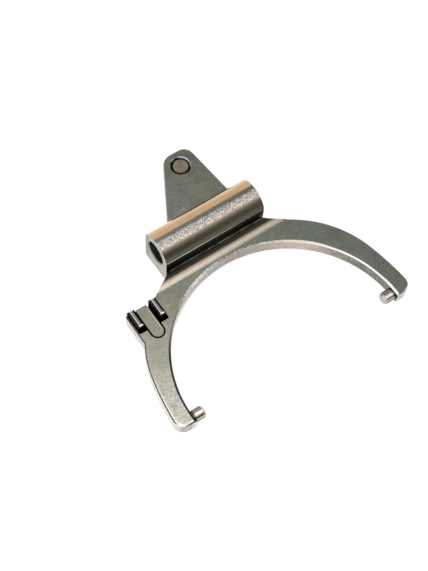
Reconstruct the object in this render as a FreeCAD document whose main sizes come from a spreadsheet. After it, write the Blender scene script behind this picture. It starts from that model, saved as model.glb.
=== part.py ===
import FreeCAD, Part
import math
import os

import Sketcher

# A differential shift fork: a flat steel plate whose two arms curve round a
# sliding collar, with a stub on each arm that runs in the collar's groove.
# A bored boss across the crown rides on the shift shaft. Behind the boss a
# tapering tab carries a pressed pin, and on the left arm a small lug holds a
# tongue and two ridges.
# The part's origin is the middle of the boss's bore. +X runs along the bore,
# +Y from the mouth towards the tab, +Z up from the plate's flat underside.

# Driving dimensions, in millimetres and degrees
DIMENSIONS = {
    # Plate and arms
    "plate_thickness": 5.7,  # thickness of the flat plate
    "mouth_radius": 48.0,  # inner radius of the fork's mouth
    "crown_width": 10.7,  # width of the plate across the crown
    "crown_half_angle": 40.7,  # half of the angle that the crown's outer arc spans
    "shoulder_radius": 44.0,  # outer radius where the crown turns into an arm
    "shoulder_turn": 36.1,  # angle that the shoulder's arc spans
    "arm_radius": 122.4,  # outer radius along an arm
    "arm_drop": 3.0,  # length of the arms past the mouth's middle
    "tip_radius": 4.5,  # outer corner radius of an arm's tip
    "mouth_bevel_width": 0.9,  # width of the bevel along the mouth's top edge
    "mouth_bevel_depth": 0.5,  # depth of that bevel
    "edge_break": 0.4,  # break along the plate's outer top edges

    # Stubs that run in the collar's groove
    "stub_diameter": 5.0,  # diameter of a stub
    "stub_length": 5.1,  # length of a stub inside the mouth
    "stub_chamfer": 0.7,  # chamfer at a stub's free end

    # Boss and its bore
    "bore_offset": 4.0,  # distance from the crown's outer edge to the bore's axis
    "bore_height": 11.2,  # height of the bore's axis above the underside
    "bore_diameter": 10.0,  # diameter of the bore
    "bore_chamfer": 0.3,  # chamfer at the bore's ends
    "boss_length": 46.8,  # length of the boss along the bore
    "boss_front": 7.8,  # distance from the bore's axis to the boss's front wall
    "boss_back": 7.1,  # distance from the bore's axis to the boss's back wall
    "boss_front_height": 13.7,  # height of the boss's front wall
    "boss_back_height": 15.2,  # height of the boss's back wall
    "boss_heel_radius": 0.9,  # round along the boss's lower back edge
    "web_radius": 5.3,  # hollow fillet between the plate and the boss

    # Tab behind the boss, and its pin
    "pin_offset": 9.65,  # distance of the pin from the fork's middle plane
    "pin_reach": 31.6,  # distance from the bore's axis to the pin's axis
    "pin_diameter": 8.0,  # diameter of the pin and its hole
    "pin_recess": 0.4,  # depth of the pin's end below the tab's face
    "pin_chamfer": 0.8,  # chamfer at the pin's upper end
    "pin_heel_chamfer": 0.4,  # chamfer at the pin's lower end
    "pin_hole_chamfer": 0.5,  # chamfer round the pin's hole
    "tab_tip_wall": 6.9,  # distance from the pin's axis to the tab's end
    "tab_left_wall": 7.1,  # distance from the pin's axis to the slanting side
    "tab_right_wall": 8.1,  # distance from the pin's axis to the steep side
    "tab_left_slope": 60.0,  # angle of the slanting side from the bore's direction
    "tab_right_slope": 84.6,  # angle of the steep side from the bore's direction
    "tab_left_corner": 6.3,  # radius of the corner on the slanting side
    "tab_right_corner": 4.4,  # radius of the corner on the steep side

    # Lug on the left arm
    "lug_reach": 8.55,  # distance of the lug's free corner outside the crown's outer circle
    "lug_angle": 45.66,  # angle of that corner from the bore's direction
    "lug_corner": 0.8,  # radius of the lug's free corner
    "slot_depth": 3.0,  # depth of the slots and the groove
    "slot_length": 9.8,  # length of the slots from the lug's back edge
    "slot_corner": 0.6,  # radius of the slots' front corners
    "lug_land": 0.6,  # wall between the lug's side and the outer slot
    "slot_span": 13.5,  # width over both slots
    "tongue_inset": 7.1,  # distance from the lug's side to the tongue's centre line
    "tongue_width": 4.8,  # width of the tongue between the slots
    "tongue_length": 14.5,  # length of the tongue from the lug's back edge
    "tongue_groove": 0.75,  # width of the groove round the tongue's end
    "ridge_height": 8.6,  # height of the ridges above the underside
    "ridge_length": 8.5,  # length of the ridges from the lug's back edge
    "outer_ridge_inset": 2.35,  # distance from the lug's side to the outer ridge
    "inner_ridge_inset": 12.15,  # distance from the lug's side to the inner ridge
    "ridge_width": 3.0,  # width of a ridge
    "ridge_round": 1.1,  # round along the top edges of a ridge
}

doc = FreeCAD.newDocument("shift_fork")
sizes = doc.addObject("Spreadsheet::Sheet", "sizes")
for row, (alias, value) in enumerate(DIMENSIONS.items(), start=1):
    sizes.set(f"A{row}", alias)
    sizes.set(f"B{row}", str(value))
    sizes.setAlias(f"B{row}", alias)
doc.recompute()

# Numbers of a curve's three points, and of a sketch's own two axes
START, END, CENTRE = range(1, 4)
X_AXIS, Y_AXIS = range(-1, -3, -1)
ORIGIN = (X_AXIS, START)
UP = FreeCAD.Vector(0, 0, 1)


def read(alias):
    """The value of one driving dimension."""
    return float(sizes.get(alias))


def work_out(expression):
    """The value of an expression in the driving dimensions."""
    return float(sizes.evalExpression(expression))


def point(x, y):
    return FreeCAD.Vector(x, y, 0)


def at_angle(radius, angle):
    """The point at a radius and an angle in degrees from the sketch's origin."""
    turn = math.radians(angle)
    return point(radius * math.cos(turn), radius * math.sin(turn))


def origin_plane(body, role):
    """One of the body's own origin planes, such as XY_Plane."""
    for feature in body.Origin.OriginFeatures:
        if feature.Role == role:
            return feature
    raise ValueError(f"no {role} in {body.Name}")


def new_body(name):
    body = doc.addObject("PartDesign::Body", name)
    body.Label = name
    return body


def new_sketch(body, name, role, offset=None):
    """A sketch on an origin plane, moved along its normal by an expression."""
    sketch = body.newObject("Sketcher::SketchObject", name)
    sketch.AttachmentSupport = (origin_plane(body, role), [""])
    sketch.MapMode = "FlatFace"
    if offset:
        sketch.setExpression("AttachmentOffset.Base.z", offset)
    return sketch


def fix(sketch, kind, *targets):
    """A constraint without a value, such as Coincident or Tangent."""
    sketch.addConstraint(Sketcher.Constraint(kind, *targets))


def dimension(sketch, name, expression, kind, *targets):
    """A named constraint whose value follows the sheet."""
    value = work_out(expression)
    if kind == "Angle":
        value = math.radians(value)
        expression = f"({expression}) * 1 deg"
    index = sketch.addConstraint(Sketcher.Constraint(kind, *targets, value))
    sketch.renameConstraint(index, name)
    sketch.setExpression(f"Constraints.{name}", expression)


def add_line(sketch, start, end):
    return sketch.addGeometry(Part.LineSegment(start, end), False)


def add_arc(sketch, centre, radius, first, last):
    """A counter-clockwise arc between two angles in degrees."""
    circle = Part.Circle(centre, UP, radius)
    arc = Part.ArcOfCircle(circle, math.radians(first), math.radians(last))
    return sketch.addGeometry(arc, False)


def add_circle(sketch, centre, radius):
    return sketch.addGeometry(Part.Circle(centre, UP, radius), False)


def add_polygon(sketch, corners):
    """A closed outline of straight sides; the sides' indices come back."""
    sides = []
    for number, corner in enumerate(corners):
        sides.append(add_line(sketch, corner, corners[(number + 1) % len(corners)]))
    for number, side in enumerate(sides):
        fix(sketch, "Coincident", side, END, sides[(number + 1) % len(sides)], START)
    return sides


def pad(body, name, sketch, length, both_ways=False):
    """Material along the sketch's normal, or half of it to each side."""
    feature = body.newObject("PartDesign::Pad", name)
    feature.Profile = sketch
    feature.setExpression("Length", length)
    if both_ways:
        feature.SideType = "Symmetric"
    sketch.Visibility = False
    return feature


def pocket(body, name, sketch, depth, both_ways=False, upwards=False):
    """A cut against the sketch's normal, along it, or to both sides."""
    feature = body.newObject("PartDesign::Pocket", name)
    feature.Profile = sketch
    feature.setExpression("Length", depth)
    feature.Reversed = upwards
    if both_ways:
        feature.SideType = "Symmetric"
    sketch.Visibility = False
    return feature


def mirror(body, name, features):
    """The same features again on the other side of the middle plane."""
    feature = body.newObject("PartDesign::Mirrored", name)
    feature.Originals = features
    feature.MirrorPlane = (origin_plane(body, "YZ_Plane"), [""])
    body.Tip = feature
    return feature


def pick_edges(body, wanted):
    """Names of the edges of the body so far whose middle and box are wanted."""
    doc.recompute()
    names = []
    for number, edge in enumerate(body.Tip.Shape.Edges, start=1):
        middle = edge.valueAt((edge.FirstParameter + edge.LastParameter) / 2)
        if wanted(edge, middle):
            names.append(f"Edge{number}")
    if not names:
        raise ValueError(f"no edge found on {body.Tip.Name}")
    return names


def fillet(body, name, radius, wanted):
    """Round the wanted edges of the body so far."""
    base = body.Tip
    edges = pick_edges(body, wanted)
    feature = body.newObject("PartDesign::Fillet", name)
    feature.Base = (base, edges)
    feature.setExpression("Radius", radius)
    return feature


def chamfer(body, name, depth, wanted, width=None):
    """Bevel the wanted edges of the body so far."""
    base = body.Tip
    edges = pick_edges(body, wanted)
    feature = body.newObject("PartDesign::Chamfer", name)
    feature.Base = (base, edges)
    feature.setExpression("Size", depth)
    if width:
        feature.ChamferType = "Two distances"
        feature.setExpression("Size2", width)
    return feature


def near(value, target, slack=0.01):
    return abs(value - target) < slack


def is_upright(edge):
    """True for a straight edge along Z."""
    box = edge.BoundBox
    return near(box.XLength, 0) and near(box.YLength, 0)


def lies_at(edge, height):
    """True for an edge that lies flat at one height."""
    box = edge.BoundBox
    return near(box.ZMin, height) and near(box.ZMax, height)


# Places that several features share, from the mouth's middle
CROWN = "(sizes.mouth_radius + sizes.crown_width)"
BORE = f"({CROWN} + sizes.bore_offset)"
PIN = f"({BORE} + sizes.pin_reach)"
WEB_FRONT = f"({BORE} - sizes.boss_front - sizes.web_radius)"
LUG_SIDE = f"(({CROWN} + sizes.lug_reach) * cos(sizes.lug_angle * 1 deg))"
LUG_BACK = f"(({CROWN} + sizes.lug_reach) * sin(sizes.lug_angle * 1 deg))"
SLOT_FRONT = f"({LUG_BACK} - sizes.slot_length)"
TONGUE = f"({LUG_SIDE} - sizes.tongue_inset)"
TONGUE_MIDDLE = f"({LUG_BACK} - sizes.tongue_length + sizes.tongue_width / 2)"
OUTER_SLOT = f"({LUG_SIDE} - sizes.lug_land)"
INNER_SLOT = f"({OUTER_SLOT} - sizes.slot_span)"
GROOVE_RADIUS = "(sizes.tongue_width / 2 + sizes.tongue_groove)"
SLOT_FLOOR = "(sizes.plate_thickness - sizes.slot_depth)"
bore_reach = work_out(BORE)
thickness = read("plate_thickness")

fork = new_body("shift_fork")

# Plate: one half of the outer outline, from the crown round the shoulder to
# the arm's tip, made thick and mirrored. The body's own origin is the middle
# of the mouth, on the underside.
crown_radius = work_out(CROWN)
crown_end = 90 - read("crown_half_angle")
shoulder_end = crown_end - read("shoulder_turn")
shoulder_centre = at_angle(crown_radius - read("shoulder_radius"), crown_end)
arm_start = shoulder_centre + at_angle(read("shoulder_radius"), shoulder_end)
arm_centre = arm_start - at_angle(read("arm_radius"), shoulder_end)
tip_gap = read("arm_radius") - read("tip_radius")
tip_height = read("tip_radius") - read("arm_drop")
tip_angle = math.degrees(math.asin((tip_height - arm_centre.y) / tip_gap))
tip_centre = arm_centre + at_angle(tip_gap, tip_angle)

outline = new_sketch(fork, "half_outline", "XY_Plane")
middle = add_line(outline, point(0, crown_radius), point(0, -read("arm_drop")))
tip_end = add_line(outline, point(0, -read("arm_drop")), point(tip_centre.x, -read("arm_drop")))
tip = add_arc(outline, tip_centre, read("tip_radius"), -90, tip_angle)
arm = add_arc(outline, arm_centre, read("arm_radius"), tip_angle, shoulder_end)
shoulder = add_arc(outline, shoulder_centre, read("shoulder_radius"), shoulder_end, crown_end)
crown = add_arc(outline, point(0, 0), crown_radius, crown_end, 90)
fix(outline, "Coincident", crown, CENTRE, *ORIGIN)
fix(outline, "PointOnObject", crown, END, Y_AXIS)
fix(outline, "Coincident", crown, END, middle, START)
fix(outline, "Vertical", middle)
fix(outline, "Coincident", middle, END, tip_end, START)
fix(outline, "Horizontal", tip_end)
fix(outline, "Tangent", tip_end, END, tip, START)
fix(outline, "Tangent", tip, END, arm, START)
fix(outline, "Tangent", arm, END, shoulder, START)
fix(outline, "Tangent", shoulder, END, crown, START)
dimension(outline, "crown_radius", CROWN, "Radius", crown)
dimension(outline, "crown_span", "sizes.crown_half_angle", "Angle", crown)
dimension(outline, "shoulder_radius", "sizes.shoulder_radius", "Radius", shoulder)
dimension(outline, "shoulder_span", "sizes.shoulder_turn", "Angle", shoulder)
dimension(outline, "arm_radius", "sizes.arm_radius", "Radius", arm)
dimension(outline, "tip_radius", "sizes.tip_radius", "Radius", tip)
dimension(outline, "arm_drop", "sizes.arm_drop", "DistanceY", middle, END, *ORIGIN)

plate_half = pad(fork, "plate_half", outline, "sizes.plate_thickness")
mirror(fork, "plate", [plate_half])

# Lug: a square corner that fills out the left arm's shoulder.
lug_outline = new_sketch(fork, "lug_outline", "XY_Plane")
lug_side = -work_out(LUG_SIDE)
lug_back = work_out(LUG_BACK)
sides = add_polygon(
    lug_outline,
    [point(0, 0), point(0, lug_back), point(lug_side, lug_back), point(lug_side, 0)],
)
fix(lug_outline, "Coincident", sides[0], START, *ORIGIN)
fix(lug_outline, "Vertical", sides[0])
fix(lug_outline, "Horizontal", sides[1])
fix(lug_outline, "Vertical", sides[2])
fix(lug_outline, "Horizontal", sides[3])
dimension(lug_outline, "side", LUG_SIDE, "DistanceX", sides[2], START, sides[0], END)
dimension(lug_outline, "back", LUG_BACK, "DistanceY", *ORIGIN, sides[0], END)
pad(fork, "lug", lug_outline, "sizes.plate_thickness")
fillet(
    fork,
    "lug_corner",
    "sizes.lug_corner",
    lambda edge, spot: is_upright(edge) and near(spot.x, lug_side) and near(spot.y, lug_back),
)


def is_outline_edge(edge, spot):
    """True for a flat top edge above a wall that reaches the underside."""
    if not lies_at(edge, thickness):
        return False
    walls = fork.Tip.Shape.ancestorsOfType(edge, Part.Face)
    return any(near(wall.BoundBox.ZMin, 0) for wall in walls)


chamfer(fork, "outline_break", "sizes.edge_break", is_outline_edge)

# Web: the plate's crown rises in a hollow curve to the boss's front wall. A
# tall block with the crown's own outline is hollowed along the boss.
web_front = work_out(WEB_FRONT)
web_angle = math.degrees(math.asin(web_front / crown_radius))
web_outline = new_sketch(fork, "web_outline", "XY_Plane")
web_arc = add_arc(web_outline, point(0, 0), crown_radius, web_angle, 180 - web_angle)
web_chord = add_line(
    web_outline, at_angle(crown_radius, 180 - web_angle), at_angle(crown_radius, web_angle)
)
fix(web_outline, "Coincident", web_arc, CENTRE, *ORIGIN)
fix(web_outline, "Coincident", web_arc, END, web_chord, START)
fix(web_outline, "Coincident", web_chord, END, web_arc, START)
fix(web_outline, "Horizontal", web_chord)
dimension(web_outline, "radius", CROWN, "Radius", web_arc)
dimension(web_outline, "front", WEB_FRONT, "DistanceY", *ORIGIN, web_chord, START)
pad(fork, "web", web_outline, "sizes.plate_thickness + sizes.web_radius")

web_top = thickness + read("web_radius")
hollow = new_sketch(fork, "web_profile", "YZ_Plane")
hollow_arc = add_arc(hollow, point(web_front, web_top), read("web_radius"), -90, 0)
hollow_lid = add_line(
    hollow, point(web_front + read("web_radius"), web_top), point(web_front, web_top)
)
hollow_side = add_line(hollow, point(web_front, web_top), point(web_front, thickness))
fix(hollow, "Coincident", hollow_arc, END, hollow_lid, START)
fix(hollow, "Coincident", hollow_lid, END, hollow_side, START)
fix(hollow, "Coincident", hollow_side, END, hollow_arc, START)
fix(hollow, "Coincident", hollow_arc, CENTRE, hollow_lid, END)
fix(hollow, "Horizontal", hollow_lid)
fix(hollow, "Vertical", hollow_side)
dimension(hollow, "radius", "sizes.web_radius", "Radius", hollow_arc)
dimension(hollow, "front", WEB_FRONT, "DistanceX", *ORIGIN, hollow_side, END)
dimension(hollow, "foot", "sizes.plate_thickness", "DistanceY", *ORIGIN, hollow_side, END)
pocket(fork, "web_hollow", hollow, f"2 * {CROWN}", both_ways=True)

# Mouth: a half circle with straight sides along the arms' ends, right through.
mouth_radius = read("mouth_radius")
mouth_low = -2 * read("arm_drop")
mouth = new_sketch(fork, "mouth_outline", "XY_Plane")
mouth_arc = add_arc(mouth, point(0, 0), mouth_radius, 0, 180)
mouth_left = add_line(mouth, point(-mouth_radius, 0), point(-mouth_radius, mouth_low))
mouth_foot = add_line(mouth, point(-mouth_radius, mouth_low), point(mouth_radius, mouth_low))
mouth_right = add_line(mouth, point(mouth_radius, mouth_low), point(mouth_radius, 0))
fix(mouth, "Coincident", mouth_arc, CENTRE, *ORIGIN)
fix(mouth, "Tangent", mouth_arc, END, mouth_left, START)
fix(mouth, "Coincident", mouth_left, END, mouth_foot, START)
fix(mouth, "Coincident", mouth_foot, END, mouth_right, START)
fix(mouth, "Tangent", mouth_right, END, mouth_arc, START)
fix(mouth, "Vertical", mouth_left)
fix(mouth, "Vertical", mouth_right)
fix(mouth, "Horizontal", mouth_foot)
dimension(mouth, "radius", "sizes.mouth_radius", "Radius", mouth_arc)
dimension(mouth, "past_the_tips", "2 * sizes.arm_drop", "DistanceY", mouth_left, END, *ORIGIN)
pocket(fork, "mouth", mouth, "sizes.plate_thickness + sizes.web_radius", upwards=True)

# Stubs: a round peg on each arm, flush with the underside, points across the mouth.
stub_start = "sizes.mouth_radius - sizes.stub_length"
stub_circle = new_sketch(fork, "stub_circle", "YZ_Plane", stub_start)
ring = add_circle(stub_circle, point(0, read("stub_diameter") / 2), read("stub_diameter") / 2)
fix(stub_circle, "PointOnObject", ring, CENTRE, Y_AXIS)
dimension(stub_circle, "diameter", "sizes.stub_diameter", "Diameter", ring)
dimension(stub_circle, "height", "sizes.stub_diameter / 2", "DistanceY", *ORIGIN, ring, CENTRE)
stub = pad(fork, "stub", stub_circle, "sizes.stub_length + sizes.stub_diameter / 2")
mirror(fork, "stubs", [stub])
stub_end = read("mouth_radius") - read("stub_length")
chamfer(
    fork,
    "stub_ends",
    "sizes.stub_chamfer",
    lambda edge, spot: near(abs(edge.BoundBox.Center.x), stub_end) and near(edge.BoundBox.XLength, 0),
)

# Boss: upright walls of two heights, joined by a rounded top whose centre is
# as high as the bore.
boss_front = bore_reach - read("boss_front")
boss_back = bore_reach + read("boss_back")
front_rise = read("boss_front_height") - read("bore_height")
back_rise = read("boss_back_height") - read("bore_height")
top_shift = (back_rise ** 2 - front_rise ** 2) / (boss_back - boss_front) / 2
top_middle = (boss_front + boss_back) / 2 + top_shift
top_radius = math.hypot(boss_back - top_middle, back_rise)
back_angle = math.degrees(math.atan2(back_rise, boss_back - top_middle))
front_angle = math.degrees(math.atan2(front_rise, boss_front - top_middle))
profile = new_sketch(fork, "boss_profile", "YZ_Plane")
foot = add_line(profile, point(boss_front, 0), point(boss_back, 0))
back_wall = add_line(profile, point(boss_back, 0), point(boss_back, read("boss_back_height")))
round_top = add_arc(
    profile, point(top_middle, read("bore_height")), top_radius, back_angle, front_angle
)
front_wall = add_line(profile, point(boss_front, read("boss_front_height")), point(boss_front, 0))
fix(profile, "Coincident", foot, END, back_wall, START)
fix(profile, "Coincident", back_wall, END, round_top, START)
fix(profile, "Coincident", round_top, END, front_wall, START)
fix(profile, "Coincident", front_wall, END, foot, START)
fix(profile, "PointOnObject", foot, START, X_AXIS)
fix(profile, "Horizontal", foot)
fix(profile, "Vertical", back_wall)
fix(profile, "Vertical", front_wall)
back_side = ("DistanceY", back_wall, START, back_wall, END)
front_side = ("DistanceY", front_wall, END, front_wall, START)
dimension(profile, "back_height", "sizes.boss_back_height", *back_side)
dimension(profile, "front_height", "sizes.boss_front_height", *front_side)
dimension(profile, "top_centre", "sizes.bore_height", "DistanceY", *ORIGIN, round_top, CENTRE)
dimension(profile, "front", f"{BORE} - sizes.boss_front", "DistanceX", *ORIGIN, foot, START)
dimension(profile, "back", f"{BORE} + sizes.boss_back", "DistanceX", *ORIGIN, foot, END)
pad(fork, "boss", profile, "sizes.boss_length", both_ways=True)
fillet(
    fork,
    "boss_heel",
    "sizes.boss_heel_radius",
    lambda edge, spot: lies_at(edge, 0) and near(spot.y, boss_back) and near(spot.x, 0),
)

# Tab: a plate behind the boss, steep on one side and slanting on the other,
# that leaves a wall round the pin.
pin_x = read("pin_offset")
pin_y = work_out(PIN)
tab_end = pin_y + read("tab_tip_wall")
left_slope = math.radians(read("tab_left_slope"))
right_slope = math.radians(read("tab_right_slope"))


def left_side_x(y):
    """Where the slanting side is at a distance from the mouth's middle."""
    return pin_x + (y - pin_y) / math.tan(left_slope) - read("tab_left_wall") / math.sin(left_slope)


def right_side_x(y):
    """Where the steep side is at a distance from the mouth's middle."""
    return pin_x - (y - pin_y) / math.tan(right_slope) + read("tab_right_wall") / math.sin(right_slope)


tab_start = bore_reach
tab_outline = new_sketch(fork, "tab_outline", "XY_Plane")
root, right_side, tab_tip, left_side = add_polygon(
    tab_outline,
    [
        point(left_side_x(tab_start), tab_start),
        point(right_side_x(tab_start), tab_start),
        point(right_side_x(tab_end), tab_end),
        point(left_side_x(tab_end), tab_end),
    ],
)
pin_spot = tab_outline.addGeometry(Part.Point(point(pin_x, pin_y)), True)
fix(tab_outline, "Horizontal", root)
fix(tab_outline, "Horizontal", tab_tip)
dimension(tab_outline, "pin_offset", "sizes.pin_offset", "DistanceX", *ORIGIN, pin_spot, START)
dimension(tab_outline, "pin_reach", PIN, "DistanceY", *ORIGIN, pin_spot, START)
dimension(tab_outline, "start", BORE, "DistanceY", *ORIGIN, root, START)
dimension(tab_outline, "tip_wall", "sizes.tab_tip_wall", "DistanceY", pin_spot, START, tab_tip, START)
dimension(tab_outline, "left_wall", "sizes.tab_left_wall", "Distance", pin_spot, START, left_side)
dimension(tab_outline, "right_wall", "sizes.tab_right_wall", "Distance", pin_spot, START, right_side)
dimension(tab_outline, "left_slope", "sizes.tab_left_slope - 180", "Angle", left_side)
dimension(tab_outline, "right_slope", "180 - sizes.tab_right_slope", "Angle", right_side)
pad(fork, "tab", tab_outline, "sizes.plate_thickness")
fillet(
    fork,
    "tab_left_round",
    "sizes.tab_left_corner",
    lambda edge, spot: is_upright(edge) and near(spot.y, tab_end) and near(spot.x, left_side_x(tab_end)),
)
fillet(
    fork,
    "tab_right_round",
    "sizes.tab_right_corner",
    lambda edge, spot: is_upright(edge) and near(spot.y, tab_end) and near(spot.x, right_side_x(tab_end)),
)
chamfer(
    fork,
    "tab_break",
    "sizes.edge_break",
    lambda edge, spot: is_outline_edge(edge, spot) and spot.y > boss_back,
)

# Bore, with a chamfer at each end
bore_circle = new_sketch(fork, "bore_circle", "YZ_Plane")
bore_radius = read("bore_diameter") / 2
ring = add_circle(bore_circle, point(bore_reach, read("bore_height")), bore_radius)
dimension(bore_circle, "diameter", "sizes.bore_diameter", "Diameter", ring)
dimension(bore_circle, "reach", BORE, "DistanceX", *ORIGIN, ring, CENTRE)
dimension(bore_circle, "height", "sizes.bore_height", "DistanceY", *ORIGIN, ring, CENTRE)
pocket(fork, "bore", bore_circle, "sizes.boss_length + sizes.bore_diameter", both_ways=True)
boss_end = read("boss_length") / 2


def is_bore_rim(edge, spot):
    box = edge.BoundBox
    return near(abs(box.Center.x), boss_end) and near(box.ZLength, 2 * bore_radius)


chamfer(fork, "bore_ends", "sizes.bore_chamfer", is_bore_rim)

# Lug's slots: two slots open at the back leave a tongue between them, and a
# narrow groove joins them round the tongue's end.
SLOT_OPEN = f"({LUG_BACK} + sizes.tongue_width)"
tongue_x = -work_out(TONGUE)
tongue_y = work_out(TONGUE_MIDDLE)
tongue_radius = read("tongue_width") / 2
groove_radius = work_out(GROOVE_RADIUS)
slot_front = work_out(SLOT_FRONT)
slot_open = work_out(SLOT_OPEN)
left_slot = -work_out(OUTER_SLOT)
right_slot = -work_out(INNER_SLOT)
slots = new_sketch(fork, "slot_outline", "XY_Plane", "sizes.plate_thickness")
left_outer = add_line(slots, point(left_slot, slot_open), point(left_slot, slot_front))
left_front = add_line(
    slots, point(left_slot, slot_front), point(tongue_x - groove_radius, slot_front)
)
groove_left = add_line(
    slots, point(tongue_x - groove_radius, slot_front), point(tongue_x - groove_radius, tongue_y)
)
groove_end = add_arc(slots, point(tongue_x, tongue_y), groove_radius, 180, 360)
groove_right = add_line(
    slots, point(tongue_x + groove_radius, tongue_y), point(tongue_x + groove_radius, slot_front)
)
right_front = add_line(
    slots, point(tongue_x + groove_radius, slot_front), point(right_slot, slot_front)
)
right_outer = add_line(slots, point(right_slot, slot_front), point(right_slot, slot_open))
right_open = add_line(
    slots, point(right_slot, slot_open), point(tongue_x + tongue_radius, slot_open)
)
tongue_right = add_line(
    slots, point(tongue_x + tongue_radius, slot_open), point(tongue_x + tongue_radius, tongue_y)
)
tongue_end = add_arc(slots, point(tongue_x, tongue_y), tongue_radius, 180, 360)
tongue_left = add_line(
    slots, point(tongue_x - tongue_radius, tongue_y), point(tongue_x - tongue_radius, slot_open)
)
left_open = add_line(
    slots, point(tongue_x - tongue_radius, slot_open), point(left_slot, slot_open)
)
for first, second in (
    (left_outer, left_front),
    (left_front, groove_left),
    (groove_right, right_front),
    (right_front, right_outer),
    (right_outer, right_open),
    (right_open, tongue_right),
    (tongue_left, left_open),
    (left_open, left_outer),
):
    fix(slots, "Coincident", first, END, second, START)
fix(slots, "Tangent", groove_left, END, groove_end, START)
fix(slots, "Tangent", groove_end, END, groove_right, START)
fix(slots, "Tangent", tongue_right, END, tongue_end, END)
fix(slots, "Tangent", tongue_end, START, tongue_left, START)
fix(slots, "Coincident", groove_end, CENTRE, tongue_end, CENTRE)
for upright in (left_outer, groove_left, groove_right, right_outer, tongue_right, tongue_left):
    fix(slots, "Vertical", upright)
for level in (left_front, right_front, right_open, left_open):
    fix(slots, "Horizontal", level)
dimension(slots, "tongue_radius", "sizes.tongue_width / 2", "Radius", tongue_end)
dimension(slots, "groove_radius", GROOVE_RADIUS, "Radius", groove_end)
dimension(slots, "tongue_offset", TONGUE, "DistanceX", tongue_end, CENTRE, *ORIGIN)
dimension(slots, "tongue_middle", TONGUE_MIDDLE, "DistanceY", *ORIGIN, tongue_end, CENTRE)
dimension(slots, "left_side", OUTER_SLOT, "DistanceX", left_outer, START, *ORIGIN)
dimension(slots, "right_side", INNER_SLOT, "DistanceX", right_outer, START, *ORIGIN)
dimension(slots, "left_front", SLOT_FRONT, "DistanceY", *ORIGIN, left_front, START)
dimension(slots, "right_front", SLOT_FRONT, "DistanceY", *ORIGIN, right_front, END)
dimension(slots, "left_open", SLOT_OPEN, "DistanceY", *ORIGIN, left_open, END)
dimension(slots, "right_open", SLOT_OPEN, "DistanceY", *ORIGIN, right_open, START)
pocket(fork, "slots", slots, "sizes.slot_depth")
fillet(
    fork,
    "slot_corners",
    "sizes.slot_corner",
    lambda edge, spot: is_upright(edge)
    and near(spot.y, slot_front)
    and (near(spot.x, left_slot) or near(spot.x, right_slot)),
)

# Ridges: a rib with rounded top edges stands up out of each slot.
ridge_half = read("ridge_width") / 2
ridge_top = read("ridge_height")
RIDGE_ROOT = f"({SLOT_FLOOR} / 2)"
ridge_root = work_out(RIDGE_ROOT)
ridges = new_sketch(fork, "ridge_profile", "XZ_Plane", f"-{LUG_BACK}")
for side in ("outer", "inner"):
    place = f"({LUG_SIDE} - sizes.{side}_ridge_inset)"
    x = -work_out(place)
    base, right_wall, top, left_wall = add_polygon(
        ridges,
        [
            point(x - ridge_half, ridge_root),
            point(x + ridge_half, ridge_root),
            point(x + ridge_half, ridge_top),
            point(x - ridge_half, ridge_top),
        ],
    )
    fix(ridges, "Horizontal", base)
    fix(ridges, "Vertical", right_wall)
    fix(ridges, "Horizontal", top)
    fix(ridges, "Vertical", left_wall)
    outer_side = f"{place} + sizes.ridge_width / 2"
    dimension(ridges, f"{side}_width", "sizes.ridge_width", "DistanceX", base, START, base, END)
    dimension(ridges, f"{side}_offset", outer_side, "DistanceX", base, START, *ORIGIN)
    dimension(ridges, f"{side}_height", "sizes.ridge_height", "DistanceY", *ORIGIN, top, END)
    dimension(ridges, f"{side}_root", RIDGE_ROOT, "DistanceY", *ORIGIN, base, START)
pad(fork, "ridges", ridges, "sizes.ridge_length")
fillet(fork, "ridge_tops", "sizes.ridge_round", lambda edge, spot: lies_at(edge, ridge_top))

# Hole for the pin, right through the tab, with a chamfer round its upper rim
pin_radius = read("pin_diameter") / 2
hole_circle = new_sketch(fork, "pin_hole_circle", "XY_Plane", "sizes.plate_thickness")
ring = add_circle(hole_circle, point(pin_x, pin_y), pin_radius)
dimension(hole_circle, "diameter", "sizes.pin_diameter", "Diameter", ring)
dimension(hole_circle, "offset", "sizes.pin_offset", "DistanceX", *ORIGIN, ring, CENTRE)
dimension(hole_circle, "reach", PIN, "DistanceY", *ORIGIN, ring, CENTRE)
pocket(fork, "pin_hole", hole_circle, "sizes.plate_thickness")


def is_hole_rim(edge, spot):
    box = edge.BoundBox
    return lies_at(edge, thickness) and near(box.XLength, 2 * pin_radius) and near(box.Center.y, pin_y)


chamfer(fork, "pin_hole_rim", "sizes.pin_hole_chamfer", is_hole_rim)


def is_mouth_edge(edge, spot):
    """True for the mouth's top edge, on its arc and along the arms' ends."""
    on_arc = spot.y > 0 and near(math.hypot(spot.x, spot.y), mouth_radius)
    on_side = spot.y <= 0 and near(abs(spot.x), mouth_radius) and near(edge.BoundBox.XLength, 0)
    return lies_at(edge, thickness) and (on_arc or on_side)


chamfer(
    fork, "mouth_bevel", "sizes.mouth_bevel_depth", is_mouth_edge, "sizes.mouth_bevel_width"
)

# The part's origin is the middle of the bore.
fork.setExpression("Placement.Base.y", f"-{BORE}")
fork.setExpression("Placement.Base.z", "-sizes.bore_height")

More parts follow.
